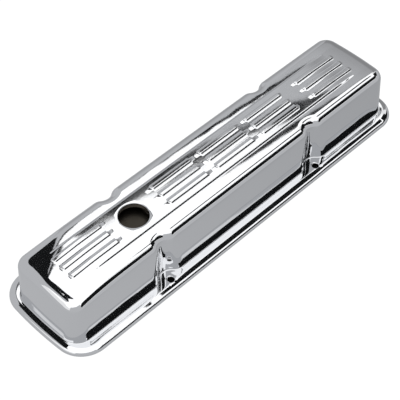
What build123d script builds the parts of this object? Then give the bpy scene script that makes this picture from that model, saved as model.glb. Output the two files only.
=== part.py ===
"""Engine valve cover: a drawn, chromium-plated steel shell with a spot-welded oil baffle.

The long side of the cover runs along X, the gasket plane is z = 0 and the crown is up.
The shell is one pressing: its outer form, less an inner form that lies one sheet thickness
inside it and has flats where the outer form has round bends.
"""
import os
from math import atan2, cos, degrees, hypot, pi, radians, sin, sqrt, tan

from build123d import *

# ---------------------------------------------------------------- sheet and overall size (mm)
SHEET = 1.0
LENGTH = 480.0
WIDTH = 125.0
CROWN_HEIGHT = 60.6
END_BOW_RADIUS = 450.0

# ---------------------------------------------------------------- flange and its turned-down lip
FLANGE_TOP = 5.0
FLANGE_CORNER_R = 31.0
LIP_R = 2.5
FLANGE_SIDE = 15.5
FLANGE_END = 9.3

# ---------------------------------------------------------------- drawn walls
WALL_DRAFT = 3.0
WALL_CORNER_R = 18.0
FOOT_R = 4.0
CROWN_EDGE_R = 11.0

# ---------------------------------------------------------------- bolts and the reliefs beside them
BOLT_SPACING = 215.6
BOLT_FROM_EDGE = 11.7
BOLT_HOLE_D = 7.6
BOLT_PAD_R = 9.0
RELIEF_DRAFT = 2.3
RELIEF_BLEND_R = 12.0
INNER_RELIEF_R = 21.0
INNER_BEND_FLATS = 3

# ---------------------------------------------------------------- raised panel on the crown
PANEL_HALF_WIDTH = 22.7
PANEL_RISE = 1.2
PANEL_EDGE_RUN = 1.2
PANEL_FLAT_LENGTH = 340.0
PANEL_FULL_LENGTH = 388.0

# ---------------------------------------------------------------- raised ribs
RIB_PITCH = 12.9
RIB_WIDTH = 7.0
RIB_RISE = 1.6
RIB_FLANK = 50.0
RIB_CORNER = 1.6
RIB_ROWS = 3
END_RIB_START = 139.5
END_RIB_LENGTH = 62.0
MIDDLE_RIB_CENTRES = (-45.0, 22.0, 89.0)
MIDDLE_RIB_LENGTH = 56.0

# ---------------------------------------------------------------- breather hole
BREATHER_X = -108.0
BREATHER_R = 15.6
BREATHER_NECK = 5.0
BREATHER_EDGE = 1.0

# ---------------------------------------------------------------- oil baffle
BAFFLE_SHEET = 0.8
BAFFLE_DROP = 12.0
BAFFLE_WIDTH = 42.0
BAFFLE_FOOT = 9.0
BAFFLE_SPAN = 38.0
BAFFLE_LEG_LEAN = 2.0
BAFFLE_BEND_R = 1.6
WELD_DIMPLE_D = 3.0
WELD_DIMPLE_DEPTH = 0.3

# ---------------------------------------------------------------- worked out from the above
WALL_X = LENGTH / 2 - FLANGE_END
WALL_Y = WIDTH / 2 - FLANGE_SIDE
BOLT_X = BOLT_SPACING / 2
BOLT_Y = WIDTH / 2 - BOLT_FROM_EDGE
BOLT_PLACES = [(sx * BOLT_X, sy * BOLT_Y) for sx in (-1, 1) for sy in (-1, 1)]
RELIEF_FOOT_R = BOLT_PAD_R + FOOT_R
PANEL_TOP = CROWN_HEIGHT + PANEL_RISE
UNDERSIDE = PANEL_TOP - SHEET
INNER_LEVEL = FLANGE_TOP - SHEET
INNER_RELIEF_Y = BOLT_Y - RELIEF_FOOT_R - SHEET + INNER_RELIEF_R


def arc_about(centre, start, end, radius):
    """Anticlockwise arc of the given centre and radius from start to end."""
    first = atan2(start[1] - centre[1], start[0] - centre[0])
    last = atan2(end[1] - centre[1], end[0] - centre[0])
    if last < first:
        last += 2 * pi
    middle = (first + last) / 2
    through = (centre[0] + radius * cos(middle), centre[1] + radius * sin(middle))
    return ThreePointArc(start, through, end)


def flipped(point, sx, sy):
    """The point mirrored in the X and Y axes as the signs say."""
    return (point[0] * sx, point[1] * sy)


def plan(half_x, half_y, corner_r):
    """Face on z = 0 with straight sides, ends bowed outwards and rounded corners."""
    bow_x = half_x - END_BOW_RADIUS
    corner_x = bow_x + sqrt((END_BOW_RADIUS - corner_r) ** 2 - (half_y - corner_r) ** 2)
    centre = (corner_x, half_y - corner_r)
    reach = END_BOW_RADIUS / hypot(centre[0] - bow_x, centre[1])
    on_side = (corner_x, half_y)
    on_end = (bow_x + (centre[0] - bow_x) * reach, centre[1] * reach)
    edges = []
    for turn in (1, -1):
        side = flipped(on_side, turn, turn)
        end = flipped(on_end, turn, turn)
        end_below = flipped(on_end, turn, -turn)
        side_below = flipped(on_side, turn, -turn)
        edges.append(arc_about(flipped(centre, turn, -turn), side_below, end_below, corner_r))
        edges.append(ThreePointArc(end_below, (turn * half_x, 0), end))
        edges.append(arc_about(flipped(centre, turn, turn), end, side, corner_r))
        edges.append(Line(side, flipped(on_side, -turn, turn)))
    return make_face(Wire(edges))


def flange_slab(inset):
    """Block that fills the flange up to its top face, one inset inside the outer form."""
    outline = plan(LENGTH / 2 - inset, WIDTH / 2 - inset, FLANGE_CORNER_R - inset)
    return extrude(outline, FLANGE_TOP - inset)


def level_edges(solid, level, half_x, half_y):
    """Edges of the solid that lie in one level plane, inside the given half sizes."""
    found = []
    for edge in solid.edges():
        box = edge.bounding_box()
        flat = abs(box.min.Z - level) < 1e-4 and abs(box.max.Z - level) < 1e-4
        reach_x = max(abs(box.min.X), abs(box.max.X))
        reach_y = max(abs(box.min.Y), abs(box.max.Y))
        if flat and reach_x < half_x and reach_y < half_y:
            found.append(edge)
    return found


def relief_cone():
    """Upright cone round a bolt that cuts the relief; its side stands off the bolt pad."""
    low = FLANGE_TOP - FOOT_R
    height = 2 * CROWN_HEIGHT
    foot_r = RELIEF_FOOT_R + (FLANGE_TOP - low) * tan(radians(RELIEF_DRAFT))
    top_r = foot_r - height * tan(radians(RELIEF_DRAFT))
    return Pos(0, 0, low) * Cone(foot_r, top_r, height, align=(Align.CENTER, Align.CENTER, Align.MIN))


def outer_form():
    """Outside of the pressing: drafted box with four reliefs, on its flange.

    The crown, the corners and the flange's edge are rounded, and the foot of the walls is bevelled.
    """
    foot = Pos(0, 0, FLANGE_TOP) * plan(WALL_X, WALL_Y, WALL_CORNER_R)
    box = extrude(foot, CROWN_HEIGHT - FLANGE_TOP, taper=WALL_DRAFT)
    for x, y in BOLT_PLACES:
        box -= Pos(x, y) * relief_cone()
    corners = []
    for edge in box.edges():
        middle = edge.center()
        if edge.bounding_box().size.Z > CROWN_HEIGHT / 2 and abs(middle.X) < BOLT_X + 2 * RELIEF_FOOT_R:
            corners.append(edge)
    box = fillet(corners, RELIEF_BLEND_R)
    crown = box.faces().sort_by(Axis.Z)[-1]
    box = fillet(crown.outer_wire().edges(), CROWN_EDGE_R)
    slab = flange_slab(0)
    slab = fillet(level_edges(slab, FLANGE_TOP, LENGTH, WIDTH), LIP_R)
    form = slab + box
    return chamfer(level_edges(form, FLANGE_TOP, WALL_X + 0.5, WALL_Y + 0.5), FOOT_R * (2 - sqrt(2)))


def inner_section():
    """(draw-in, height) points up the inside of the wall, with flats in place of both bends.

    Each flat touches the arc that lies one sheet inside the outer bend, which keeps the hidden
    side of the pressing light while its wall stays close to one sheet thick.
    """
    foot = (FOOT_R + SHEET) * (2 - sqrt(2))
    bend_r = CROWN_EDGE_R - SHEET
    bend_level = CROWN_HEIGHT - SHEET - bend_r
    bend_centre = (bend_level - INNER_LEVEL) * tan(radians(WALL_DRAFT)) + bend_r
    step = pi / 2 / (INNER_BEND_FLATS + 1)
    points = [(-foot, INNER_LEVEL), (foot * tan(radians(WALL_DRAFT)), INNER_LEVEL + foot)]
    for i in range(INNER_BEND_FLATS + 1):
        angle = pi - (i + 0.5) * step
        reach = bend_r / cos(step / 2)
        points.append((bend_centre + reach * cos(angle), bend_level + reach * sin(angle)))
    return points


def inner_relief(section):
    """Turned body round one bolt that keeps the inside clear of the relief."""
    lean = tan(radians(WALL_DRAFT)) + tan(radians(RELIEF_DRAFT))
    side = []
    for draw_in, height in section:
        side.append((INNER_RELIEF_R + draw_in - (height - INNER_LEVEL) * lean, height))
    top = (side[-1][0], CROWN_HEIGHT)
    profile = Polyline((0, INNER_LEVEL), *side, top, (0, CROWN_HEIGHT), close=True)
    return revolve(Plane.XZ * make_face(profile), axis=Axis.Z)


def inner_form():
    """Inside of the pressing, built up in drafted bands from the flange to the crown."""
    section = inner_section()
    slab = flange_slab(SHEET)
    bend = (LIP_R - SHEET) * (2 - sqrt(2))
    form = chamfer(level_edges(slab, INNER_LEVEL, LENGTH, WIDTH), bend)
    half_x = WALL_X - SHEET
    half_y = WALL_Y - SHEET
    corner_r = WALL_CORNER_R - SHEET
    box = None
    for (low_in, low), (high_in, high) in zip(section, section[1:]):
        base = Pos(0, 0, low) * plan(half_x - low_in, half_y - low_in, corner_r - low_in)
        band = extrude(base, high - low, taper=degrees(atan2(high_in - low_in, high - low)))
        box = band if box is None else box + band
    turned = inner_relief(section)
    for sx in (-1, 1):
        for sy in (-1, 1):
            box -= Pos(sx * BOLT_X, sy * INNER_RELIEF_Y) * turned
    return form + box


def panel(inset):
    """Raised flat panel along the crown, feathered out at both ends."""
    top = PANEL_TOP - inset
    bottom = CROWN_HEIGHT - 2 * SHEET - inset
    top_half = PANEL_HALF_WIDTH - PANEL_EDGE_RUN / 2
    base_half = top_half + PANEL_EDGE_RUN * (top - bottom) / PANEL_RISE
    across = [(-base_half, bottom), (-top_half, top), (top_half, top), (base_half, bottom)]
    bar = extrude(Plane.YZ * make_face(Polyline(*across, close=True)), amount=LENGTH / 2, both=True)
    flat = PANEL_FLAT_LENGTH / 2
    slope = 2 * PANEL_RISE / (PANEL_FULL_LENGTH - PANEL_FLAT_LENGTH)
    far = PANEL_FULL_LENGTH / 2 + SHEET / slope / 4
    fade = top - (far - flat) * slope
    ramp = [(-far, bottom), (-far, fade), (-flat, top), (flat, top), (far, fade), (far, bottom)]
    wedge = extrude(Plane.XZ * make_face(Polyline(*ramp, close=True)), amount=WIDTH, both=True)
    return bar & wedge


def rib(length, inset):
    """One raised rib with sloping flanks and cut corners, standing on z = 0 at the origin."""
    draw_in = inset * tan(radians(90 - RIB_FLANK) / 2)
    outline = Rectangle(length - 2 * draw_in, RIB_WIDTH - 2 * draw_in)
    outline = chamfer(outline.vertices(), RIB_CORNER)
    return extrude(outline, RIB_RISE, taper=RIB_FLANK)


def ribs(inset):
    """All ribs on the panel: three rows at each end and three rows of shorter ones between."""
    level = PANEL_TOP - inset
    end_x = END_RIB_START + END_RIB_LENGTH / 2
    places = [(-end_x, END_RIB_LENGTH), (end_x, END_RIB_LENGTH)]
    places += [(x, MIDDLE_RIB_LENGTH) for x in MIDDLE_RIB_CENTRES]
    solids = []
    for x, length in places:
        for row in range(RIB_ROWS):
            y = (row - (RIB_ROWS - 1) / 2) * RIB_PITCH
            solids.append(Pos(x, y, level) * rib(length, inset))
    return solids


def cover_shell():
    """The pressing: outer form less inner form, then the breather neck and the holes."""
    outer = outer_form() + panel(0) + ribs(0)
    inner = inner_form() + panel(SHEET) + ribs(SHEET)
    shell = outer - inner
    neck_top = PANEL_TOP - SHEET / 2
    neck_length = neck_top - (UNDERSIDE - BREATHER_NECK)
    neck_place = Pos(BREATHER_X, 0, neck_top - neck_length / 2)
    shell += neck_place * Cylinder(BREATHER_R + SHEET, neck_length)
    shell -= Pos(BREATHER_X, 0, PANEL_TOP) * Cylinder(BREATHER_R, 4 * BREATHER_NECK)
    mouth = []
    for edge in shell.edges().filter_by(GeomType.CIRCLE):
        if abs(edge.radius - BREATHER_R) < 1e-4 and edge.center().Z > PANEL_TOP - SHEET / 2:
            mouth.append(edge)
    shell = chamfer(mouth, BREATHER_EDGE)
    for x, y in BOLT_PLACES:
        shell -= Pos(x, y, FLANGE_TOP) * Cylinder(BOLT_HOLE_D / 2, 4 * SHEET)
    return shell


def oil_baffle():
    """Top-hat strip under the breather hole, its feet spot-welded to the underside of the panel."""
    leg = BAFFLE_SPAN / 2
    shoulder = leg + BAFFLE_LEG_LEAN
    reach = shoulder + BAFFLE_FOOT
    high = UNDERSIDE - BAFFLE_SHEET / 2
    low = high - BAFFLE_DROP
    line = [(-reach, high), (-shoulder, high), (-leg, low), (leg, low), (shoulder, high), (reach, high)]
    profile = trace(FilletPolyline(*line, radius=BAFFLE_BEND_R), line_width=BAFFLE_SHEET)
    strip = extrude(Plane.XZ * profile, amount=BAFFLE_WIDTH / 2, both=True)
    weld_x = shoulder + BAFFLE_FOOT / 2
    weld_y = BAFFLE_WIDTH / 4
    for sx in (-1, 1):
        for sy in (-1, 1):
            dimple = Cylinder(WELD_DIMPLE_D / 2, 2 * WELD_DIMPLE_DEPTH)
            strip -= Pos(sx * weld_x, sy * weld_y, UNDERSIDE - BAFFLE_SHEET) * dimple
    return Pos(BREATHER_X, 0, 0) * strip


def main():
    """Writes one STEP file for each piece of the cover."""
    os.makedirs("parts", exist_ok=True)
    export_step(cover_shell(), "parts/cover_shell.step")
    export_step(oil_baffle(), "parts/oil_baffle.step")


if __name__ == "__main__":
    main()
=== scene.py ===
"""Looks of a chromium-plated engine valve cover, laid out as a Blender add-on and run as a script."""

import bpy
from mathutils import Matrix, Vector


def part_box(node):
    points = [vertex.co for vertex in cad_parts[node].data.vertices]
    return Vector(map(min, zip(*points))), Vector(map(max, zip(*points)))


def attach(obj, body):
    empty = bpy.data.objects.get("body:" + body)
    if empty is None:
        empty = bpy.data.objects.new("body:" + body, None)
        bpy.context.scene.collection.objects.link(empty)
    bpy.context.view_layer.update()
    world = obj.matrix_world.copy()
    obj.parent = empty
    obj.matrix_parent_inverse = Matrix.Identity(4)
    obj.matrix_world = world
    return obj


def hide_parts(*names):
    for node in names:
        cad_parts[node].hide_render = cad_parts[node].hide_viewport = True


bl_info = {
    "name": "Chrome valve cover",
    "version": (1, 0, 0),
    "blender": (4, 5, 0),
    "location": "View3D > Sidebar > Valve Cover",
    "description": "Builds the plated skin, the oil baffle finish and the studio of an engine valve cover",
    "category": "Object",
}

from math import atan2, cos, pi, radians, sin, sqrt, tan

import bmesh
import bpy
import numpy as np
from bpy.props import FloatProperty, FloatVectorProperty, PointerProperty, StringProperty
from mathutils import Vector

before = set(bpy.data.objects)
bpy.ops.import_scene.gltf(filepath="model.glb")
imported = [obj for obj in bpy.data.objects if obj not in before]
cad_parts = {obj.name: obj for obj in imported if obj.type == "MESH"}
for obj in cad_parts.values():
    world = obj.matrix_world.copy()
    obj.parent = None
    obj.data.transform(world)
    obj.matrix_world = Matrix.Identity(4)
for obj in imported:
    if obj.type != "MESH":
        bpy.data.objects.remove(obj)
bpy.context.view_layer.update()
SHELL_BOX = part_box("cover_shell")
MM = 0.001
SHELL_LENGTH = (SHELL_BOX[1][0] - SHELL_BOX[0][0]) / MM
SHELL_WIDTH = (SHELL_BOX[1][1] - SHELL_BOX[0][1]) / MM

# Rows of quads in each stretch of the skin, from the lip in to the crown's middle grid.
LIP_STEPS = 9
FLANGE_STEPS = 20
FOOT_STEPS = 5
WALL_STEPS = 4
CROWN_EDGE_STEPS = 13
SHOULDER_STEPS = 6

# The same in the patch round a hole, and in the breather's rounded mouth and its neck.
PATCH_STEPS = 4
MOUTH_STEPS = 6
NECK_STEPS = 3

# Half sizes of the crown's middle grid, and where its lines start to serve the plan's corners. Of
# each such stretch the first share stays on the side or the end, and the rest runs round the arc.
GRID_HALF_X = 206.0
GRID_HALF_Y = 25.0
CORNER_FROM_X = 196.0
CORNER_FROM_Y = 14.0
STRAIGHT_SHARE = 0.4

# Spacing of the grid's lines: elsewhere, over the flanks of ribs and panel, over the ends of the
# ribs, toward the plan's corners, across the reliefs and across the breather.
PLAIN_STEP_X, PLAIN_STEP_Y = 8.0, 2.5
FLANK_STEP = 0.3
RIB_END_STEP, RIB_END_MARGIN = 0.47, 0.4
CORNER_STEP_X, CORNER_STEP_Y = 0.7, 0.9
RELIEF_STEP, RELIEF_HALF = 1.8, 20.5
BREATHER_STEP = 2.2

# Half sizes of the squares that the patches of the breather and the bolts fill, and the flange's
# rows that stay outside a bolt's patch on each side.
HOLE_SQUARE = 20.5
PAD_SQUARE = 6.6
PAD_ROWS_KEPT = 2

# Lines closer than this (mm) count as one, lines are rounded to this many digits, and points closer
# than this (m) are merged.
SAME_LINE = 1e-6
LINE_DIGITS = 5
SAME_POINT = 1e-7

# Flange: the rim's least height, the largest share of the width that falls away and the rounding
# of that fall (a share too), then the start and the rounding of the ledge beside the wall.
RIM_LIFT = 0.12
FALL_SHARE = 0.62
FALL_ROUNDING = 0.04
LEDGE_FROM = 3.7
LEDGE_ROUNDING = 0.5

# Length over which the falling strip narrows at a bolt, and the height and the length over 2 pi of
# the two waves in its width beyond the bolts.
FALL_CHANGE = 24.0
FALL_WAVES = ((0.35, 11.0), (0.25, 4.7))

# Ribs: the rows of a group, the number of groups between the end groups, and the share of a flank's
# run that is rounded at its top and at its foot.
RIB_ROWS = (-1, 0, 1)
MIDDLE_GROUPS = 3
FLANK_ROUNDING = 0.3

# Crown: where its dish starts and ends across, where its ends start and stop to droop more, and the
# direction, start and rounding of the further droop toward the two corners at -X.
DISH_FROM, DISH_TO = 24.0, 37.0
DROOP_FROM, DROOP_TO = 190.0, 220.0
CORNER_WAY = (0.57, 0.82)
CORNER_FROM = 129.0
CORNER_ROUNDING = 4.0

# Chrome: noise scale and bump distance (m) of the waviness and of the orange peel, and the least and
# most of the roughness as shares of the set one.
WAVES_SCALE, WAVES_BUMP = 45.0, 4e-5
PEEL_SCALE, PEEL_BUMP = 420.0, 1.5e-6
POLISH_SPAN = (0.6, 1.4)

# Inside of the sheet: noise scale and roughness of the stains.
STAIN_SCALE = 70.0
STAIN_ROUGHNESS = (0.35, 0.65)

# Baffle: noise scale of the rolling grain along X, Y and Z, its bump and the strip's roughness.
GRAIN_SCALE = (60.0, 2500.0, 2500.0)
GRAIN_STRENGTH, GRAIN_BUMP = 0.15, 1e-4
STRIP_ROUGHNESS = 0.38

# Floor, grey card and the dark sheet of painted shade under the cover: half sizes and levels in
# millimetres.
FLOOR_HALF = 6000.0
TABLE_HALF, TABLE_LEVEL = 900.0, -0.4
INNER_SHADE_HALF, INNER_SHADE_LEVEL = (228.0, 54.0), 0.3

# Where the greys of the two far cards (height) and of the grey card (X) start and end, in metres.
SWEEP_SPAN = (-15.0, 38.0)
SHADE_SPAN = (34.0, 42.0)
TABLE_SPAN = (-0.3, 0.25)

# World light on diffuse surfaces, and the camera: focal length in pixels of a render that is 400
# pixels wide, its sensor's width in millimetres and how far it sees in metres.
FILL_LIGHT = 0.9
FOCAL_PIXELS, RENDER_PIXELS = 1229.92, 400
SENSOR_WIDTH = 36.0
CLIP_END = 20.0

# Quads along each side of a card that reflections see.
CARD_STEPS = 24

# Cards that reflections see: name, azimuth, low edge, high edge (degrees), distance (m), finish.
CARDS = (
    ("softbox", (20, 380), (45, 45), (90, 90), 70.0, "white"),
    ("surround", (20, 380), (-60, -60), (25, 25), 65.0, "grey"),
    ("far_wall", (20, 80), (-60, -60), (56.8, 35.5), 60.0, "sweep"),
    ("end_shade", (50, 80), (-60, -60), (46.1, 35.5), 59.0, "shade"),
    ("softbox_frame", (20, 80), (56.0, 34.7), (56.8, 35.5), 57.0, "black"),
    ("softbox_seam", (76, 94), (50, 50), (66.8, 66.8), 57.0, "black"),
    ("near_flag", (112, 130), (28, 28), (44, 52), 60.0, "black"),
    ("side_flag", (130, 148), (28, 28), (52, 56), 60.0, "black"),
    ("crown_flag", (148, 176), (28, 28), (56, 46), 60.0, "black"),
    ("right_flag", (84, 112), (20, 20), (49, 44), 60.0, "black"),
    ("camera_side", (176, 250), (20, 20), (56, 52), 60.0, "grey"),
    ("near_frame", (115, 140), (44.0, 59.1), (47.8, 62.9), 58.0, "grey"),
    ("near_seam", (115, 140), (46.9, 62.0), (47.8, 62.9), 57.0, "black"),
    ("end_flag", (308, 386), (64, 46), (68, 68), 59.0, "black"),
    ("end_tip", (386, 390), (46, 49.5), (53.5, 51.5), 59.0, "black"),
    ("end_wall", (308, 386), (20, 20), (64, 46), 60.0, "grey"),
)


# ------------------------------------------------------------------ sizes and colours
def millimetres(name, description, default):
    """Property that holds a length in millimetres."""
    return FloatProperty(name=name, description=description + ", millimetres", default=default)


def degrees(name, description, default):
    """Property that holds an angle in degrees."""
    return FloatProperty(name=name, description=description + ", degrees", default=default)


def factor(name, description, default):
    """Property that holds a share between 0 and 1."""
    limits = {"min": 0.0, "max": 1.0, "subtype": "FACTOR"}
    return FloatProperty(name=name, description=description, default=default, **limits)


def hex_colour(name, description, default):
    """Property that holds a colour as sRGB hex."""
    return StringProperty(name=name, description=description + ", sRGB hex", default=default)


class CoverSizes(bpy.types.PropertyGroup):
    """Sizes of the pressing's outside surface."""

    length: millimetres("Length", "Over the flange, along X", SHELL_LENGTH)
    width: millimetres("Width", "Over the flange, along Y", SHELL_WIDTH)
    sheet: millimetres("Sheet", "Thickness of the steel", 1.0)
    crown_height: millimetres("Crown height", "Top of the plain crown", 60.6)
    end_bow: millimetres("End bow radius", "Plan radius of both ends", 450.0)
    flange_top: millimetres("Flange top", "Height of the flange's upper face", 5.0)
    flange_corner: millimetres("Flange corner radius", "Plan corner of the flange", 31.0)
    lip_run: millimetres("Lip run", "Plan width of the rolled lip", 4.1)
    lip_depth: millimetres("Lip ellipse", "Half axis of its elliptical roll, in plan", 5.4)
    flange_fall: degrees("Flange fall", "Slope of the flange's outer strip", 13.0)
    fall_middle: millimetres("Middle strip", "Width of the sloping strip between bolts", 4.7)
    fall_end: millimetres("End strip", "Width of the sloping strip beyond the bolts", 3.4)
    flange_side: millimetres("Side flange", "Flange width beside the walls", 15.5)
    flange_end: millimetres("End flange", "Flange width at both ends", 9.3)
    wall_draft: degrees("Wall draft", "Lean of the walls", 3.0)
    wall_corner: millimetres("Wall corner radius", "Plan corner of the walls", 18.0)
    foot_radius: millimetres("Foot radius", "Keeps the relief off the bolt pad, added to its radius", 4.0)
    foot_bend: millimetres("Foot bend", "Radius of the bend at the wall's foot", 0.8)
    ledge_fall: degrees("Ledge fall", "Slope of the flange beside the wall", 2.1)
    crown_edge: millimetres("Crown edge radius", "Bend between wall and crown", 11.0)
    bolt_spacing: millimetres("Bolt spacing", "Head bolts, along X", 215.6)
    bolt_from_edge: millimetres("Bolt inset", "Bolt centre from the flange's edge", 11.7)
    bolt_hole: millimetres("Bolt hole", "Hole diameter", 7.6)
    bolt_pad: millimetres("Bolt pad radius", "Flat seat round each bolt", 9.0)
    relief_draft: degrees("Relief draft", "Outward lean of the reliefs", 2.3)
    relief_blend: millimetres("Relief blend radius", "Rounding between wall and relief", 12.0)
    panel_half: millimetres("Panel half width", "Raised panel on the crown", 22.7)
    panel_rise: millimetres("Panel rise", "Height of the panel over the crown", 1.2)
    panel_edge: millimetres("Panel edge run", "Width of the panel's sloping edge", 2.3)
    far_dish: degrees("Far dish", "Rise beside the panel on +Y", 1.1)
    near_dish: degrees("Near dish", "Rise beside the panel on -Y", 0.65)
    end_droop: degrees("End droop", "Fall of the crown at both ends", 2.5)
    corner_droop: degrees("Corner droop", "Fall of the crown's corners at -X", 4.4)
    panel_flat: millimetres("Panel flat length", "Length at full height", 340.0)
    panel_full: millimetres("Panel full length", "Length where it has faded out", 388.0)
    rib_pitch: millimetres("Rib pitch", "Between rows, across", 12.9)
    rib_width: millimetres("Rib width", "At the foot of the flanks", 7.0)
    rib_rise: millimetres("Rib rise", "Height over the panel", 1.2)
    rib_flank: millimetres("Rib near flank", "Plan width of the slope on -Y", 2.7)
    rib_far_flank: millimetres("Rib far flank", "Plan width of the slope on +Y", 1.5)
    rib_corner: millimetres("Rib corner radius", "Plan corner of a rib", 2.4)
    end_rib_start: millimetres("End rib start", "Inner end of the end ribs, from the middle", 139.5)
    end_rib_length: millimetres("End rib length", "Length of the end ribs", 62.0)
    middle_rib_length: millimetres("Middle rib length", "Length of the ribs between", 56.0)
    middle_rib_first: millimetres("First middle rib", "Centre of the first of three", -45.0)
    middle_rib_step: millimetres("Middle rib step", "Between centres, along X", 67.0)
    breather_x: millimetres("Breather place", "Centre of the hole along X", -108.0)
    breather_radius: millimetres("Breather radius", "Bore of the neck", 15.6)
    breather_edge: millimetres("Breather edge radius", "Rounding of the mouth", 0.9)
    breather_neck: millimetres("Breather neck", "Depth of the neck under the panel", 6.0)


class CoverLooks(bpy.types.PropertyGroup):
    """Colours and finishes."""

    chrome_hex: hex_colour("Chrome", "Plated steel", "#E2E3E5")
    chrome_roughness: factor("Chrome roughness", "Mirror polish", 0.035)
    inside_hex: hex_colour("Inside", "Unplated inside of the pressing", "#34302B")
    steel_hex: hex_colour("Bare steel", "Baffle strip", "#45413B")
    backdrop_hex: hex_colour("Backdrop", "Floor and surroundings", "#FFFFFF")
    floor_hex: hex_colour("Floor paper", "Diffuse part of the floor", "#8F8F8F")
    floor_glow: factor("Floor glow", "Light that the floor shows of its own", 0.82)
    table_hex: hex_colour("Grey card", "What the walls mirror below at -X", "#C3C4C6")
    table_end_hex: hex_colour("Grey card's end", "The same at +X", "#AEAFB1")
    wall_hex: hex_colour("Grey surround", "What the crown mirrors past the softbox", "#C6C7C9")
    low_wall_hex: hex_colour("Low surround", "Foot of the far grey card", "#949495")
    # The dark card's colour also paints the shade of the dark sheet under the cover.
    dark_hex: hex_colour("Dark card", "Black flags", "#161718")
    softbox_power: FloatProperty(name="Softbox", description="Brightness of the softbox", default=1.4)


class StudioSizes(bpy.types.PropertyGroup):
    """Place and lens of the camera."""

    azimuth: degrees("Azimuth", "Heading of the camera, from +Y toward +X", 44.9)
    elevation: degrees("Elevation", "How far the camera looks down", 49.64)
    distance: millimetres("Distance", "Camera to aim", 1271.0)
    aim: FloatVectorProperty(
        name="Aim",
        description="Point that the camera faces, millimetres",
        default=(-23.07, -6.69, 20.0),
        subtype="XYZ",
    )
    lens: millimetres("Lens", "Focal length", FOCAL_PIXELS * SENSOR_WIDTH / RENDER_PIXELS)


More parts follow.
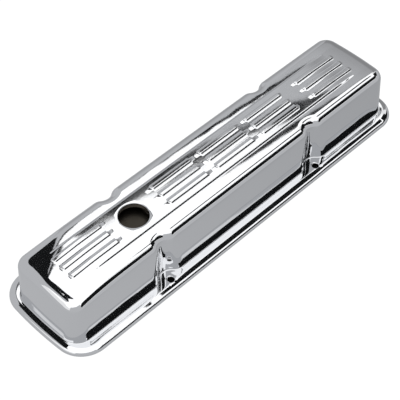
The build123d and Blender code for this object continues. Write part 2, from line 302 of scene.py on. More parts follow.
# ------------------------------------------------------------------ plan curves, all stations at once
class Plan:
    """Closed plan curve of the cover, sampled at the same stations at every level.

    A station is a point on the edge of the crown's middle grid, where one of its lines ends. On
    the long sides it keeps its x and on the ends its share of the width, and near the grid's
    corners it runs round the plan's corner arc by angle.
    """

    def __init__(self, s, xs, ys):
        self.s = s
        self.bolt_x = s.bolt_spacing / 2
        self.bolt_y = s.width / 2 - s.bolt_from_edge
        loop = [(xs[-1], y) for y in ys]
        loop += [(x, ys[-1]) for x in xs[-2::-1]]
        loop += [(xs[0], y) for y in ys[-2::-1]]
        loop += [(x, ys[0]) for x in xs[1:-1]]
        self.grid = np.array(loop)
        gx, gy = self.grid.T
        self.on_end = np.isclose(np.abs(gx), GRID_HALF_X) & (np.abs(gy) < GRID_HALF_Y - SAME_LINE)
        self.sx = np.where(gx < 0, -1.0, 1.0)
        self.sy = np.where(gy < 0, -1.0, 1.0)
        self.far_x = (np.abs(gx) - CORNER_FROM_X) / (GRID_HALF_X - CORNER_FROM_X)
        self.far_y = (np.abs(gy) - CORNER_FROM_Y) / (GRID_HALF_Y - CORNER_FROM_Y)

    def relief(self, x, depth, bite):
        """Depth and slope of the relief at x.

        An arc of the bite's radius dips by the depth about the bolt, and an arc of the blend's
        radius, tangent to it and to the side, leads out of it on each side.
        """
        blend = self.s.relief_blend
        if depth <= 0:
            return np.zeros_like(x), np.zeros_like(x)
        step = sqrt((bite + blend) ** 2 - (bite + blend - depth) ** 2)
        touch = step * bite / (bite + blend)
        t = np.abs(np.abs(x) - self.bolt_x)
        side = np.sign(np.abs(x) - self.bolt_x) * np.sign(x)
        in_bite = np.clip(t, 0, touch)
        root = np.sqrt(bite**2 - in_bite**2)
        in_blend = np.clip(step - t, 0, step - touch)
        blend_root = np.sqrt(blend**2 - in_blend**2)
        value = np.where(t < touch, depth - bite + root, blend - blend_root)
        slope = np.where(t < touch, -in_bite / root, -in_blend / blend_root)
        return value, slope * side

    def curve(self, half_x, half_y, corner, depth=0.0, bite=1.0):
        """Points and outward normals of the plan curve with the given half sizes.

        Two straight sides, less the reliefs, and two ends on arcs of the bow's radius, joined by
        corner arcs that are tangent to both. The middle of a corner arc is at 45 degrees.
        """
        gx, gy = self.grid.T
        bow = self.s.end_bow
        bow_x = half_x - bow
        cx = bow_x + sqrt((bow - corner) ** 2 - (half_y - corner) ** 2)
        cy = half_y - corner
        last = atan2(cy, cx - bow_x)
        # Long sides.
        x_far = CORNER_FROM_X + (cx - CORNER_FROM_X) * self.far_x / STRAIGHT_SHARE
        x_side = np.minimum(np.where(self.far_x > 0, x_far, np.abs(gx)), cx) * self.sx
        dip, slope = self.relief(x_side, depth, bite)
        side_p = np.stack([x_side, self.sy * (half_y - dip)], axis=1)
        side_n = np.stack([slope, self.sy * np.ones_like(slope)], axis=1)
        # Ends.
        y_end = bow * sin(last)
        y_start = CORNER_FROM_Y * y_end / GRID_HALF_Y
        y_plain = np.abs(gy) * y_end / GRID_HALF_Y
        y_far = y_start + (y_end - y_start) * self.far_y / STRAIGHT_SHARE
        y_bow = np.minimum(np.where(self.far_y > 0, y_far, y_plain), y_end) * self.sy
        x_bow = (bow_x + np.sqrt(bow**2 - y_bow**2)) * self.sx
        end_p = np.stack([x_bow, y_bow], axis=1)
        end_n = np.stack([self.sx * np.sqrt(bow**2 - y_bow**2), y_bow], axis=1)
        # Corner arcs, from each side or end to their middle.
        turn = np.clip((self.far_x - STRAIGHT_SHARE) / (1 - STRAIGHT_SHARE), 0, 1)
        angle_side = pi / 2 - turn * pi / 4
        swing = np.clip((self.far_y - STRAIGHT_SHARE) / (1 - STRAIGHT_SHARE), 0, 1)
        angle_end = last + swing * (pi / 4 - last)
        angle = np.where(self.on_end, angle_end, angle_side)
        arc_n = np.stack([self.sx * np.cos(angle), self.sy * np.sin(angle)], axis=1)
        arc_p = np.stack([self.sx * cx, self.sy * cy], axis=1) + corner * arc_n
        on_arc = np.where(self.on_end, self.far_y > STRAIGHT_SHARE, self.far_x > STRAIGHT_SHARE)
        points = np.where(self.on_end[:, None], end_p, side_p)
        normals = np.where(self.on_end[:, None], end_n, side_n)
        points = np.where(on_arc[:, None], arc_p, points)
        normals = np.where(on_arc[:, None], arc_n, normals)
        return points, normals / np.linalg.norm(normals, axis=1, keepdims=True)

    def flange(self, inset):
        """The flange's outline, drawn in evenly by the given amount."""
        s = self.s
        return self.curve(s.length / 2 - inset, s.width / 2 - inset, s.flange_corner - inset)

    def wall(self, level):
        """The wall's outline at one height: drafted walls with the drafted relief cones.

        The walls close in with height by the tangent of their draft, and so do the corner's and the
        bite's radii, by the tangents of the walls' and the reliefs' drafts.
        """
        s = self.s
        rise = level - s.flange_top
        lean = rise * tan(radians(s.wall_draft))
        half_x = s.length / 2 - s.flange_end - lean
        half_y = s.width / 2 - s.flange_side - lean
        bite = s.bolt_pad + s.foot_radius - rise * tan(radians(s.relief_draft))
        return self.curve(half_x, half_y, s.wall_corner - lean, half_y - (self.bolt_y - bite), bite)

    def wall_lean(self, level):
        """Tangent of the wall's inward lean at each station.

        How far the outline moves in along its normal from 1 mm below the level to 1 mm above it.
        """
        low, normal = self.wall(level - 1)
        high, _ = self.wall(level + 1)
        return -((high - low) * normal).sum(axis=1) / 2


def smooth(t):
    """Smooth step: 0 below 0, 1 above 1, level at both ends."""
    t = np.clip(t, 0, 1)
    return t * t * (3 - 2 * t)


def flank(t):
    """Straight slope from 0 to 1 whose two ends are parabolas over the rounding's share."""
    rounding = FLANK_ROUNDING
    t = np.clip(t, 0, 1)
    near = np.minimum(t, 1 - t)
    straight = (near - rounding / 2) / (1 - rounding)
    value = np.where(near < rounding, near**2 / (2 * rounding * (1 - rounding)), straight)
    return np.where(t < 0.5, value, 1 - value)


def rib_groups(s):
    """(centre x, length) of each group of three ribs: one at each end and three between."""
    end = s.end_rib_start + s.end_rib_length / 2
    middle = [s.middle_rib_first + i * s.middle_rib_step for i in range(MIDDLE_GROUPS)]
    ends = [(-end, s.end_rib_length), (end, s.end_rib_length)]
    return ends + [(centre, s.middle_rib_length) for centre in middle]


def crown_level(s, x, y):
    """Height of the crown: flat, plus the panel with faded ends, plus the ribs with sloping flanks.

    A rib is a rounded rectangle in plan. Its height grows with the distance inside that outline,
    over a run that changes smoothly from the near flank's to the far flank's across the rib.
    """
    across = flank((s.panel_half + s.panel_edge / 2 - np.abs(y)) / s.panel_edge)
    along = np.clip((s.panel_full / 2 - np.abs(x)) / (s.panel_full / 2 - s.panel_flat / 2), 0, 1)
    z = s.crown_height + s.panel_rise * across * along
    for centre, length in rib_groups(s):
        for row in RIB_ROWS:
            dx = np.abs(x - centre) - (length / 2 - s.rib_corner)
            dy = np.abs(y - row * s.rib_pitch) - (s.rib_width / 2 - s.rib_corner)
            outside = np.hypot(np.maximum(dx, 0), np.maximum(dy, 0)) + np.minimum(np.maximum(dx, dy), 0)
            side = smooth((y - row * s.rib_pitch) / s.rib_width + 0.5)
            run = s.rib_flank + (s.rib_far_flank - s.rib_flank) * side
            z = z + s.rib_rise * flank((s.rib_corner - outside) / run)
    return z


def soft_ramp(t, rounding):
    """Ramp that is 0 below 0 and t above it, with its corner rounded by a hyperbola."""
    return (t + np.sqrt(t**2 + rounding**2)) / 2


def dish(s, x, y):
    """Slight dish of a drawn crown, as a height to add.

    Beside the panel the slope starts at the dish angle and falls evenly to nothing at the edge
    bend, and at both ends the crown falls away with an evenly growing slope. The two corners at
    -X fall away further, with an even slope past a line across each corner.
    """
    share = np.clip((np.abs(y) - DISH_FROM) / (DISH_TO - DISH_FROM), 0, 1)
    start = np.tan(np.radians(np.where(y > 0, s.far_dish, s.near_dish)))
    rise = start * (DISH_TO - DISH_FROM) * (share - share**2 / 2)
    past = np.clip(np.abs(x) - DROOP_FROM, 0, DROOP_TO - DROOP_FROM)
    fall = np.tan(np.radians(s.end_droop)) * past**2 / (2 * (DROOP_TO - DROOP_FROM))
    out = CORNER_WAY[0] * -x + CORNER_WAY[1] * np.abs(y) - CORNER_FROM
    corner = np.tan(np.radians(s.corner_droop)) * soft_ramp(out, CORNER_ROUNDING)
    return rise - fall - corner


def dished(s, points):
    """Points with the dish added: in full on the crown, fading to nothing down the edge bend."""
    x, y, z = points[..., 0], points[..., 1], points[..., 2]
    share = smooth((z - (s.crown_height - s.crown_edge)) / s.crown_edge)
    out = points.copy()
    out[..., 2] = z + share * dish(s, x, y)
    return out


# ------------------------------------------------------------------ grids to meshes
def strips(shape, closed, keep=None):
    """Quads between neighbouring points of neighbouring rows of a grid with this shape.

    A closed grid joins the last point of each row to its first. The function keep says which
    quads stay, from the row and the column of their first point.
    """
    n_rows, n_cols = shape
    last = n_cols if closed else n_cols - 1
    r, c = np.meshgrid(np.arange(n_rows - 1), np.arange(last), indexing="ij")
    if keep is not None:
        chosen = keep(r, c)
        r, c = r[chosen], c[chosen]
    r, c = r.ravel(), c.ravel()
    d = (c + 1) % n_cols
    return np.stack([r * n_cols + c, r * n_cols + d, (r + 1) * n_cols + d, (r + 1) * n_cols + c], axis=1)


def mesh_object(name, parts):
    """One smooth mesh from (points in mm, quads) parts; equal points are merged."""
    points = []
    quads = []
    base = 0
    for part_points, part_quads in parts:
        points.append(part_points.reshape(-1, 3))
        quads.append(part_quads + base)
        base += len(points[-1])
    points = np.concatenate(points) * MM
    quads = np.concatenate(quads)
    mesh = bpy.data.meshes.new(name)
    mesh.vertices.add(len(points))
    mesh.vertices.foreach_set("co", points.astype(np.float32).ravel())
    mesh.loops.add(quads.size)
    mesh.loops.foreach_set("vertex_index", quads.astype(np.int32).ravel())
    mesh.polygons.add(len(quads))
    mesh.polygons.foreach_set("loop_start", (np.arange(len(quads)) * 4).astype(np.int32))
    mesh.update(calc_edges=True)
    mesh.validate()
    work = bmesh.new()
    work.from_mesh(mesh)
    bmesh.ops.remove_doubles(work, verts=work.verts, dist=SAME_POINT)
    bmesh.ops.recalc_face_normals(work, faces=work.faces)
    for face in work.faces:
        face.smooth = True
    work.to_mesh(mesh)
    work.free()
    obj = bpy.data.objects.new(name, mesh)
    bpy.context.scene.collection.objects.link(obj)
    return obj


def grid_lines(fixed, dense, low, high, coarse):
    """Sorted grid lines from low to high.

    They pass through the fixed places and the ends of the dense stretches, and divide what lies
    between evenly, by the coarse spacing or by the finest of the dense stretches there.
    """
    lines = set()
    stops = sorted({low, high, *[v for a, b, _ in dense for v in (a, b) if low < v < high], *fixed})
    for a, b in zip(stops, stops[1:]):
        step = coarse
        for first, last, fine in dense:
            if first - SAME_LINE <= (a + b) / 2 <= last + SAME_LINE:
                step = min(step, fine)
        count = max(1, int(np.ceil((b - a) / step - SAME_LINE)))
        lines.update(np.round(np.linspace(a, b, count + 1), LINE_DIGITS))
    return np.array(sorted(lines))


def stretch(a, b, step):
    """Dense stretch of a grid between two places, given in either order."""
    return min(a, b), max(a, b), step


def crown_lines(s):
    """Grid lines along and across the crown, close together where a flank or a corner is."""
    along = [stretch(s.breather_x - HOLE_SQUARE, s.breather_x + HOLE_SQUARE, BREATHER_STEP)]
    for centre, length in rib_groups(s):
        for side in (-1, 1):
            edge = centre + side * length / 2
            along.append(stretch(edge, edge - side * (s.rib_corner + RIB_END_MARGIN), RIB_END_STEP))
    across = []
    for side in (-1, 1):
        bolt = side * s.bolt_spacing / 2
        along.append(stretch(bolt - RELIEF_HALF, bolt + RELIEF_HALF, RELIEF_STEP))
        along.append(stretch(side * CORNER_FROM_X, side * GRID_HALF_X, CORNER_STEP_X))
        across.append(stretch(side * CORNER_FROM_Y, side * GRID_HALF_Y, CORNER_STEP_Y))
        foot = side * (s.panel_half + s.panel_edge / 2)
        across.append(stretch(side * (s.panel_half - s.panel_edge / 2), foot, FLANK_STEP))
        for row in RIB_ROWS:
            edge = row * s.rib_pitch + side * s.rib_width / 2
            across.append(stretch(edge, edge - side * s.rib_flank, FLANK_STEP))
    bolt = s.bolt_spacing / 2
    fixed_x = [-bolt - PAD_SQUARE, -bolt + PAD_SQUARE, bolt - PAD_SQUARE, bolt + PAD_SQUARE]
    xs = grid_lines(fixed_x, along, -GRID_HALF_X, GRID_HALF_X, PLAIN_STEP_X)
    ys = grid_lines([-HOLE_SQUARE, HOLE_SQUARE], across, -GRID_HALF_Y, GRID_HALF_Y, PLAIN_STEP_Y)
    return xs, ys


def arc_angles(steps, first, last):
    """Angles of one bend, from first to last, both kept."""
    return np.linspace(first, last, steps + 1)


def fall_run(s, x):
    """Width of the flange's falling outer strip: wide between the bolts, narrower beyond them.

    The change is a smooth step centred on the bolt, and two sine waves join in with it.
    """
    beyond = smooth((np.abs(x) - s.bolt_spacing / 2 + FALL_CHANGE / 2) / FALL_CHANGE)
    wave = sum(height * np.sin(x / length) for height, length in FALL_WAVES)
    return s.fall_middle + (s.fall_end - s.fall_middle) * beyond + wave * beyond


def ledge_drop(s, to_foot):
    """Drop of the flange beside the wall: a rounded ramp of the distance past the ledge's start."""
    return tan(radians(s.ledge_fall)) * soft_ramp(LEDGE_FROM - to_foot, LEDGE_ROUNDING)


def ring(points, level):
    """Ring of (x, y, z) from plan points and one height, or a height for each."""
    return np.column_stack([points, np.broadcast_to(level, len(points))])


def skin_rings(s, plan):
    """All rings of the skin from the lip to the crown's middle grid, as (ring, station, xyz).

    Lip: part of an ellipse, from the rim up to the point where it has come in by the lip's run.
    Flange: straight in to the foot's bend, less its fall outside and its ledge inside.
    Foot and crown edge: circular bends, which end at the lean of the wall between them.
    Wall: straight lines from one bend to the other. Shoulder: the crown's level, straight in.
    Also gives the rings where the flange's patches may start and end.
    """
    foot_level = s.flange_top - ledge_drop(s, 0.0) + s.foot_bend
    foot_lean = np.arctan(plan.wall_lean(foot_level))
    wall, foot_normal = plan.wall(foot_level)
    foot_centre = wall + foot_normal * s.foot_bend
    rolled = plan.flange(s.lip_run)[0]
    width = np.linalg.norm(foot_centre - rolled, axis=1)
    ease = np.minimum(FALL_SHARE, fall_run(s, foot_centre[:, 0]) / width)
    fall = tan(radians(s.flange_fall)) * width
    lip_top = s.flange_top - fall * soft_ramp(ease, FALL_ROUNDING)
    cosine = 1 - s.lip_run / s.lip_depth
    stop = atan2(sqrt(1 - cosine**2), cosine)
    rings = []
    for angle in arc_angles(LIP_STEPS, 0, stop):
        level = np.maximum(lip_top * sin(angle) / sin(stop), RIM_LIFT)
        rings.append(ring(plan.flange(s.lip_depth * (1 - cos(angle)))[0], level))
    first_flange = len(rings) - 1
    for i in range(1, FLANGE_STEPS):
        share = i / FLANGE_STEPS
        drop = fall * soft_ramp(ease - share, FALL_ROUNDING) + ledge_drop(s, (1 - share) * width)
        rings.append(ring(rolled + (foot_centre - rolled) * share, s.flange_top - drop))
    last_flange = len(rings)
    for i in range(FOOT_STEPS + 1):
        angle = pi / 2 + (foot_lean - pi / 2) * i / FOOT_STEPS
        points = foot_centre - foot_normal * (s.foot_bend * np.cos(angle))[:, None]
        rings.append(ring(points, foot_level - s.foot_bend * np.sin(angle)))
    edge_level = s.crown_height - s.crown_edge
    edge_lean = np.arctan(plan.wall_lean(edge_level))
    wall, edge_normal = plan.wall(edge_level)
    edge_centre = wall - edge_normal * (s.crown_edge / np.cos(edge_lean))[:, None]
    bend = []
    for i in range(CROWN_EDGE_STEPS + 1):
        angle = edge_lean + (pi / 2 - edge_lean) * i / CROWN_EDGE_STEPS
        points = edge_centre + edge_normal * (s.crown_edge * np.cos(angle))[:, None]
        bend.append(ring(points, edge_level + s.crown_edge * np.sin(angle)))
    foot_top = rings[-1]
    rings += [foot_top + (bend[0] - foot_top) * i / WALL_STEPS for i in range(1, WALL_STEPS)]
    rings += bend
    inner = bend[-1][:, :2]
    for i in range(1, SHOULDER_STEPS + 1):
        points = inner + (plan.grid - inner) * i / SHOULDER_STEPS
        rings.append(ring(points, crown_level(s, points[:, 0], points[:, 1])))
    return np.array(rings), first_flange, last_flange


def outward(loop, centre):
    """Unit vectors in plan from the centre to each point."""
    offset = loop[:, :2] - centre
    return offset / np.hypot(offset[:, 0], offset[:, 1])[:, None]


def round_patch(loop, centre, radius, level, steps):
    """Rows from a closed loop of points in to a circle, each point moving straight to the centre."""
    way = outward(loop, centre)
    rim = ring(centre + way * radius, level)
    return [loop + (rim - loop) * i / steps for i in range(steps + 1)]


def border(block):
    """Closed loop of points round a block of grid points (rows, columns, xyz)."""
    return np.concatenate([block[0, :-1], block[:-1, -1], block[-1, :0:-1], block[:0:-1, 0]])


def bolt_patch(s, plan, rings, cut, rows, sx, sy):
    """Flat seat round one bolt hole, in the place of the flange's quads there, which it marks cut."""
    bolt = np.array([sx * plan.bolt_x, sy * plan.bolt_y])
    near = np.abs(plan.grid[:, 0] - bolt[0]) < PAD_SQUARE + SAME_LINE
    columns = np.where(near & np.isclose(plan.grid[:, 1], sy * GRID_HALF_Y))[0]
    loop = border(rings[rows[0] : rows[1] + 1, columns[0] : columns[-1] + 1])
    cut[rows[0] : rows[1], columns[0] : columns[-1]] = True
    return np.array(round_patch(loop, bolt, s.bolt_hole / 2, s.flange_top, PATCH_STEPS))


def breather_patch(s, loop):
    """Panel round the breather, its mouth rounded by a quarter circle, and its straight neck."""
    centre = np.array([s.breather_x, 0.0])
    panel_top = s.crown_height + s.panel_rise
    rows = round_patch(loop, centre, s.breather_radius + s.breather_edge, panel_top, PATCH_STEPS)
    way = outward(rows[-1], centre)
    for angle in arc_angles(MOUTH_STEPS, 0, pi / 2)[1:]:
        radius = s.breather_radius + s.breather_edge * (1 - sin(angle))
        rows.append(ring(centre + way * radius, panel_top - s.breather_edge * (1 - cos(angle))))
    for i in range(1, NECK_STEPS + 1):
        drop = s.breather_edge + (s.breather_neck - s.breather_edge) * i / NECK_STEPS
        rows.append(ring(centre + way * s.breather_radius, panel_top - drop))
    return np.array(rows)


def build_skin(s):
    """Whole outside surface of the pressing: bolt patches, rings, the crown's grid and the breather."""
    xs, ys = crown_lines(s)
    plan = Plan(s, xs, ys)
    rings, first_flange, last_flange = skin_rings(s, plan)
    cut = np.zeros(rings.shape[:2], bool)
    pad_rows = (first_flange + PAD_ROWS_KEPT, last_flange - PAD_ROWS_KEPT)
    patches = [bolt_patch(s, plan, rings, cut, pad_rows, sx, sy) for sx in (-1, 1) for sy in (-1, 1)]
    parts = [(patch, strips(patch.shape[:2], True)) for patch in patches]
    parts.append((dished(s, rings), strips(rings.shape[:2], True, lambda r, c: ~cut[r, c])))
    gx, gy = np.meshgrid(xs, ys, indexing="ij")
    top = dished(s, np.stack([gx, gy, crown_level(s, gx, gy)], axis=2))
    near_x = np.where(np.abs(xs - s.breather_x) < HOLE_SQUARE + SAME_LINE)[0]
    near_y = np.where(np.abs(ys) < HOLE_SQUARE + SAME_LINE)[0]
    hole = np.zeros(top.shape[:2], bool)
    hole[near_x[0] : near_x[-1], near_y[0] : near_y[-1]] = True
    parts.append((top, strips(top.shape[:2], False, lambda r, c: ~hole[r, c])))
    loop = border(top[near_x[0] : near_x[-1] + 1, near_y[0] : near_y[-1] + 1])
    breather = breather_patch(s, loop)
    parts.append((breather, strips(breather.shape[:2], True)))
    return mesh_object("plated_skin", parts)


# ------------------------------------------------------------------ materials
def linear(hex_text):
    """sRGB hex to a linear colour with alpha, by the sRGB curve."""
    values = [int(hex_text[i : i + 2], 16) / 255 for i in (1, 3, 5)]
    return tuple(v / 12.92 if v <= 0.04045 else ((v + 0.055) / 1.055) ** 2.4 for v in values) + (1.0,)


def add_node(tree, kind, settings=None, **links):
    """Adds a node, sets its properties and sockets, and links the sockets named in links.

    A socket whose name has a space is written with an underscore there.
    """
    node = tree.nodes.new(kind)
    for key, value in (settings or {}).items():
        if hasattr(node, key):
            setattr(node, key, value)
        else:
            node.inputs[key].default_value = value
    for key, source in links.items():
        tree.links.new(source, node.inputs[key.replace("_", " ")])
    return node


def new_material(name):
    """Material with an empty node tree."""
    material = bpy.data.materials.new(name)
    material.use_nodes = True
    material.node_tree.nodes.clear()
    return material, material.node_tree


def surface(tree, shader):
    """Joins a shader to the material's output."""
    add_node(tree, "ShaderNodeOutputMaterial", Surface=shader.outputs[0])


def noise(tree, place, scale, detail):
    """Noise between 0 and 1 about one half, with this many waves to the metre."""
    return add_node(tree, "ShaderNodeTexNoise", {"Scale": scale, "Detail": detail}, Vector=place)


def chrome_plate(looks):
    """Bright chromium plate on drawn steel, which mirrors its surroundings.

    The drawn sheet under the plate is never quite even: a slow waviness bends the edges of the
    mirrored shapes, a finer orange peel takes their hard outline, and the polish varies a little.
    """
    material, tree = new_material("chromium_plate")
    place = add_node(tree, "ShaderNodeTexCoord").outputs["Object"]
    waves = noise(tree, place, WAVES_SCALE, detail=0.0).outputs[0]
    peel = noise(tree, place, PEEL_SCALE, detail=1.0).outputs[0]
    slow = add_node(tree, "ShaderNodeBump", {"Strength": 1.0, "Distance": WAVES_BUMP}, Height=waves)
    relief = {"Strength": 1.0, "Distance": PEEL_BUMP}
    fine = add_node(tree, "ShaderNodeBump", relief, Height=peel, Normal=slow.outputs[0])
    least, most = (looks.chrome_roughness * share for share in POLISH_SPAN)
    polish = add_node(tree, "ShaderNodeMapRange", {"To Min": least, "To Max": most}, Value=waves)
    metal = {"Base Color": linear(looks.chrome_hex), "Metallic": 1.0}
    sockets = {"Normal": fine.outputs[0], "Roughness": polish.outputs[0]}
    surface(tree, add_node(tree, "ShaderNodeBsdfPrincipled", metal, **sockets))
    return material


def dull_inside(looks):
    """Inside of the pressing: steel that the plating left dull and the oil stained, in soft blotches."""
    material, tree = new_material("dull_inside")
    place = add_node(tree, "ShaderNodeTexCoord").outputs["Object"]
    stain = noise(tree, place, STAIN_SCALE, detail=4.0).outputs[0]
    span = {"To Min": STAIN_ROUGHNESS[0], "To Max": STAIN_ROUGHNESS[1]}
    rough = add_node(tree, "ShaderNodeMapRange", span, Value=stain)
    metal = {"Base Color": linear(looks.inside_hex), "Metallic": 1.0}
    surface(tree, add_node(tree, "ShaderNodeBsdfPrincipled", metal, Roughness=rough.outputs[0]))
    return material


def bare_steel(looks):
    """Cold-rolled steel strip, unplated, with a fine rolling grain along X."""
    material, tree = new_material("cold_rolled_steel")
    place = add_node(tree, "ShaderNodeTexCoord").outputs["Object"]
    stretched = add_node(tree, "ShaderNodeMapping", {"Scale": GRAIN_SCALE}, Vector=place).outputs[0]
    grain = noise(tree, stretched, 1.0, detail=3.0).outputs[0]
    relief = {"Strength": GRAIN_STRENGTH, "Distance": GRAIN_BUMP}
    bump = add_node(tree, "ShaderNodeBump", relief, Height=grain)
    metal = {"Base Color": linear(looks.steel_hex), "Metallic": 1.0, "Roughness": STRIP_ROUGHNESS}
    surface(tree, add_node(tree, "ShaderNodeBsdfPrincipled", metal, Normal=bump.outputs[0]))
    return material


# ------------------------------------------------------------------ stage
def flat_card(name, corners, material):
    """One quad of the studio."""
    mesh = bpy.data.meshes.new(name)
    mesh.from_pydata(corners, [], [range(len(corners))])
    obj = bpy.data.objects.new(name, mesh)
    bpy.context.scene.collection.objects.link(obj)
    obj.data.materials.append(material)
    return obj


def square(half_x, half_y, level):
    """Corners in metres of a level rectangle about the origin, from millimetres."""
    return [(x * half_x * MM, y * half_y * MM, level * MM) for x, y in ((-1, -1), (1, -1), (1, 1), (-1, 1))]


def mirror_only(obj):
    """Leaves a card to reflections alone."""
    for rays in ("camera", "diffuse", "shadow", "transmission", "volume_scatter"):
        setattr(obj, "visible_" + rays, False)


def glow(name, hex_text, strength=1.0):
    """Even emission."""
    material, tree = new_material(name)
    surface(tree, add_node(tree, "ShaderNodeEmission", {"Color": linear(hex_text), "Strength": strength}))
    return material


def link_first(tree, pairs):
    """Links the first output of each pair's node to the pair's socket."""
    for node, socket in pairs:
        tree.links.new(node.outputs[0], socket)


def sky_card(name, azimuth, low, high, reach, material):
    """Card bent on a sphere about the origin, seen only in reflections.

    Azimuth (from +Y towards +X) runs evenly over the card's width, and elevation runs evenly from
    the low edge to the high edge. Both edges are straight lines in azimuth and elevation.
    """
    shares = np.linspace(0, 1, CARD_STEPS + 1)
    along, up = np.meshgrid(shares, shares)
    turn = np.radians(azimuth[0] + (azimuth[1] - azimuth[0]) * along)
    bottom = low[0] + (low[1] - low[0]) * along
    top = high[0] + (high[1] - high[0]) * along
    rise = np.radians(bottom + (top - bottom) * up)
    points = np.stack([np.cos(rise) * np.sin(turn), np.cos(rise) * np.cos(turn), np.sin(rise)], axis=2)
    card = mesh_object(name, [(points * reach / MM, strips(along.shape, False))])
    card.data.materials.append(material)
    mirror_only(card)


def sweep(name, axis, hexes, span):
    """Glowing paper whose grey runs from the first to the second tone along an axis, in metres."""
    material, tree = new_material(name)
    place = add_node(tree, "ShaderNodeTexCoord").outputs["Object"]
    split = add_node(tree, "ShaderNodeSeparateXYZ", Vector=place).outputs[axis]
    share = add_node(tree, "ShaderNodeMapRange", {"From Min": span[0], "From Max": span[1]}, Value=split)
    paper = add_node(tree, "ShaderNodeMix", {"data_type": "RGBA"}, Factor=share.outputs[0])
    paper.inputs[6].default_value = linear(hexes[0])
    paper.inputs[7].default_value = linear(hexes[1])
    surface(tree, add_node(tree, "ShaderNodeEmission", {"Strength": 1.0}, Color=paper.outputs[2]))
    return material


def white_floor(looks):
    """Diffuse floor, which has a glow of its own for the camera, to show as plain white."""
    material, tree = new_material("white_floor")
    rays = add_node(tree, "ShaderNodeLightPath")
    paper = add_node(tree, "ShaderNodeBsdfDiffuse", {"Color": linear(looks.floor_hex)})
    glowing = {"Color": linear(looks.backdrop_hex), "Strength": looks.floor_glow}
    shine = add_node(tree, "ShaderNodeEmission", glowing)
    seen = add_node(tree, "ShaderNodeAddShader")
    mix = add_node(tree, "ShaderNodeMixShader")
    tree.links.new(rays.outputs["Is Camera Ray"], mix.inputs[0])
    link_first(tree, ((paper, seen.inputs[0]), (shine, seen.inputs[1])))
    link_first(tree, ((paper, mix.inputs[1]), (seen, mix.inputs[2])))
    surface(tree, mix)
    return material


def dark_sheet_of_painted_shade(looks):
    """Dark sheet under the cover: painted shade that keeps its inside as dark as a closed box."""
    material, tree = new_material("painted_inner_shade")
    surface(tree, add_node(tree, "ShaderNodeBsdfDiffuse", {"Color": linear(looks.dark_hex)}))
    return material


def white_world(looks):
    """World: plain fill light, and pure white to camera, glossy and transmission rays."""
    world = bpy.data.worlds.new("studio_world")
    bpy.context.scene.world = world
    world.use_nodes = True
    tree = world.node_tree
    tree.nodes.clear()
    rays = add_node(tree, "ShaderNodeLightPath")
    first = add_node(tree, "ShaderNodeMath", {"operation": "MAXIMUM"})
    tree.links.new(rays.outputs["Is Camera Ray"], first.inputs[0])
    tree.links.new(rays.outputs["Is Glossy Ray"], first.inputs[1])
    seen = add_node(tree, "ShaderNodeMath", {"operation": "MAXIMUM"})
    tree.links.new(rays.outputs["Is Transmission Ray"], seen.inputs[1])
    backdrop = linear(looks.backdrop_hex)
    fill = add_node(tree, "ShaderNodeBackground", {"Color": backdrop, "Strength": FILL_LIGHT})
    white = add_node(tree, "ShaderNodeBackground", {"Color": backdrop, "Strength": 1.0})
    mix = add_node(tree, "ShaderNodeMixShader")
    link_first(tree, ((first, seen.inputs[0]), (seen, mix.inputs[0])))
    link_first(tree, ((fill, mix.inputs[1]), (white, mix.inputs[2])))
    add_node(tree, "ShaderNodeOutputWorld", Surface=mix.outputs[0])


def place_camera(studio):
    """Camera that faces its aim: heading from +Y toward +X by the azimuth, down by the elevation."""
    az, el = radians(studio.azimuth), radians(studio.elevation)
    forward = Vector((cos(el) * sin(az), cos(el) * cos(az), -sin(el)))
    data = bpy.data.cameras.new("camera")
    data.lens = studio.lens
    data.sensor_width = SENSOR_WIDTH
    data.clip_end = CLIP_END
    camera = bpy.data.objects.new("camera", data)
    camera.location = Vector(studio.aim) * MM - forward * studio.distance * MM
    camera.rotation_euler = forward.to_track_quat("-Z", "Y").to_euler()
    bpy.context.scene.collection.objects.link(camera)
    bpy.context.scene.camera = camera


# ------------------------------------------------------------------ operators
class COVER_OT_skin(bpy.types.Operator):
    """Builds the plated skin of the pressing"""

    bl_idname = "cover.skin"
    bl_label = "Plated skin"

    def execute(self, context):
        skin = build_skin(context.scene.cover_sizes)
        skin.data.materials.append(chrome_plate(context.scene.cover_looks))
        skin.data.materials.append(dull_inside(context.scene.cover_looks))
        sheet = skin.modifiers.new("sheet", "SOLIDIFY")
        sheet.thickness = context.scene.cover_sizes.sheet * MM
        sheet.offset = -1.0
        sheet.material_offset = 1
        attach(skin, "root")
        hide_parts("cover_shell")
        return {"FINISHED"}


class COVER_OT_baffle(bpy.types.Operator):
    """Gives the oil baffle its bare steel finish"""

    bl_idname = "cover.baffle"
    bl_label = "Oil baffle"

    def execute(self, context):
        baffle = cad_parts["oil_baffle"]
        baffle.data.materials.clear()
        baffle.data.materials.append(bare_steel(context.scene.cover_looks))
        return {"FINISHED"}


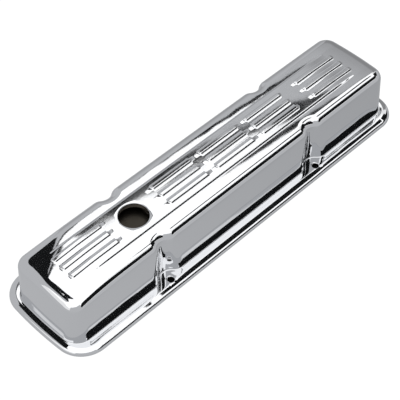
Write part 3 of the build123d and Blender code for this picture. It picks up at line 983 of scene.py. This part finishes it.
class COVER_OT_stage(bpy.types.Operator):
    """Builds the world, the camera, the cards and the floor"""

    bl_idname = "cover.stage"
    bl_label = "Stage"

    def execute(self, context):
        looks = context.scene.cover_looks
        white_world(looks)
        place_camera(context.scene.cover_studio)
        finishes = {
            "white": glow("softbox_white", looks.backdrop_hex, looks.softbox_power),
            "grey": glow("grey_surround", looks.wall_hex),
            "sweep": sweep("far_paper", "Z", (looks.low_wall_hex, looks.wall_hex), SWEEP_SPAN),
            "shade": sweep("end_paper", "Z", (looks.low_wall_hex, looks.wall_hex), SHADE_SPAN),
            "black": glow("black_flag", looks.dark_hex),
        }
        for name, azimuth, low, high, reach, finish in CARDS:
            sky_card(name, azimuth, low, high, reach, finishes[finish])
        floor = flat_card("floor", square(FLOOR_HALF, FLOOR_HALF, 0.0), white_floor(looks))
        floor.visible_glossy = False
        table = sweep("grey_card", "X", (looks.table_hex, looks.table_end_hex), TABLE_SPAN)
        mirror_only(flat_card("grey_card", square(TABLE_HALF, TABLE_HALF, TABLE_LEVEL), table))
        # Dark sheet under the cover: painted shade that keeps the inside dark.
        flat_card("inner_shade_sheet", square(*INNER_SHADE_HALF, INNER_SHADE_LEVEL), dark_sheet_of_painted_shade(looks))
        return {"FINISHED"}


class COVER_PT_panel(bpy.types.Panel):
    """Lists the steps of the build"""

    bl_idname = "COVER_PT_panel"
    bl_label = "Valve cover"
    bl_space_type = "VIEW_3D"
    bl_region_type = "UI"
    bl_category = "Valve Cover"

    def draw(self, context):
        for step in ("cover.skin", "cover.baffle", "cover.stage"):
            self.layout.operator(step)


CLASSES = (
    CoverSizes,
    CoverLooks,
    StudioSizes,
    COVER_OT_skin,
    COVER_OT_baffle,
    COVER_OT_stage,
    COVER_PT_panel,
)


def register():
    for cls in CLASSES:
        bpy.utils.register_class(cls)
    bpy.types.Scene.cover_sizes = PointerProperty(type=CoverSizes)
    bpy.types.Scene.cover_looks = PointerProperty(type=CoverLooks)
    bpy.types.Scene.cover_studio = PointerProperty(type=StudioSizes)


def unregister():
    del bpy.types.Scene.cover_sizes
    del bpy.types.Scene.cover_looks
    del bpy.types.Scene.cover_studio
    for cls in reversed(CLASSES):
        bpy.utils.unregister_class(cls)


def main():
    """Runs the whole build."""
    register()
    bpy.context.scene.view_settings.view_transform = "Standard"
    bpy.ops.cover.skin()
    bpy.ops.cover.baffle()
    bpy.ops.cover.stage()


if __name__ == "__main__":
    main()
